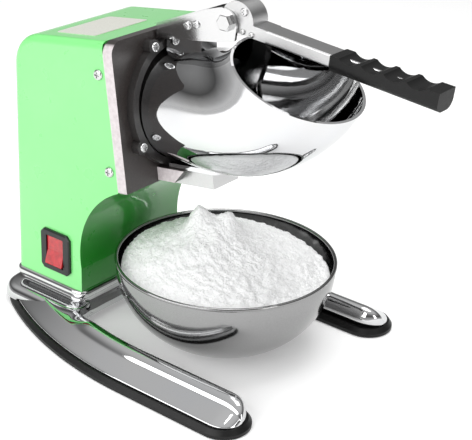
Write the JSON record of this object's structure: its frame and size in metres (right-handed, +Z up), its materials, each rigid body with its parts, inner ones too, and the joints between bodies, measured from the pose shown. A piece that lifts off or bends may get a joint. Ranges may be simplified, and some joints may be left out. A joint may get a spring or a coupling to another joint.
{
  "type": "shaved ice machine",
  "caption": "Table-top electric ice shaver with a curved polished ice chamber, a pressing lever with a wavy rubber grip, a horseshoe base and a round bowl.",
  "frame": {"origin": "on the table, under the middle of the whole machine with its lever as it stands at rest", "axes": "+Z up, the lever and the bowl point to -Y, +X to the right seen from the front, the power switch is on the -X side"},
  "size_m": [0.2658, 0.4287, 0.3235],
  "materials": {
    "green_paint": "gloss light green stove enamel",
    "plate_paint": "dark brown-grey painted casting",
    "ring_paint": "near black painted casting",
    "label": "pale satin film",
    "chrome": "polished",
    "polished_steel": "polished stainless",
    "steel": "bright zinc plated",
    "blade_steel": "ground",
    "brushed_aluminium": "brushed",
    "cast_aluminium": "as cast",
    "lamination": "varnished laminations",
    "copper": "enamelled copper wire, taped",
    "bearing_steel": "ground",
    "rubber": "satin black",
    "black_plastic": "fine textured",
    "red_plastic": "translucent red",
    "white_plastic": "plain"
  },
  "bodies": {
    "machine": {"housing_shell": "green_paint", "side_screws": "steel", "rating_label": "label", "front_plate": "plate_paint", "ice_chamber": "chrome", "chamber_clamp_ring": "ring_paint", "clamp_ring_screws": "steel", "chute_spout": "brushed_aluminium", "motor_front_bell": "cast_aluminium", "motor_rear_bell": "cast_aluminium", "motor_bolts": "steel", "stator_core": "lamination", "stator_windings": "copper", "front_bearing": "bearing_steel", "rear_bearing": "bearing_steel", "shaft_seal": "rubber", "capacitor": "white_plastic", "capacitor_clip": "steel", "terminal_block": "white_plastic", "floor_plate": "steel", "cord_gland": "black_plastic", "switch_bezel": "black_plastic", "switch_body": "black_plastic", "hinge_bracket": "polished_steel", "bracket_screws": "steel", "pivot_bolt": "steel", "pivot_nut": "steel", "base_casting": "chrome", "base_rubber": "rubber", "base_trim": "chrome", "base_bolts": "steel", "base_nuts": "steel"},
    "drive": {"blade_disc": "blade_steel", "blades": "blade_steel", "blade_screws": "steel", "disc_nut": "steel", "rotor_core": "lamination", "motor_shaft": "bearing_steel", "cooling_fan": "black_plastic"},
    "lever": {"lever_knuckle": "brushed_aluminium", "knuckle_screws": "steel", "lever_arm": "brushed_aluminium", "grip_core": "steel", "lever_grip": "rubber", "pusher_arm": "polished_steel", "pusher_plate": "polished_steel"},
    "rocker": {"switch_rocker": "red_plastic"},
    "bowl": {"bowl": "polished_steel"}
  },
  "joints": [
    {"name": "lever_hinge", "type": "hinge", "parent": "machine", "child": "lever", "pos_m": [0, -0.0146, 0.305], "axis": [-1, 0, 0], "range_deg": [-15, 95]},
    {"name": "motor_spin", "type": "hinge", "parent": "machine", "child": "drive", "pos_m": [0, 0.05495, 0.21712], "axis": [0, -0.99, 0.1409], "continuous": true},
    {"name": "switch_rocker_tilt", "type": "hinge", "parent": "machine", "child": "rocker", "pos_m": [-0.0655, 0.1339, 0.0655], "axis": [0, -1, 0], "range_deg": [0, 16]},
    {"name": "bowl_slide_out", "type": "slide", "parent": "machine", "child": "bowl", "axis": [0, -1, 0], "range_m": [0, 0.26]}
  ]
}
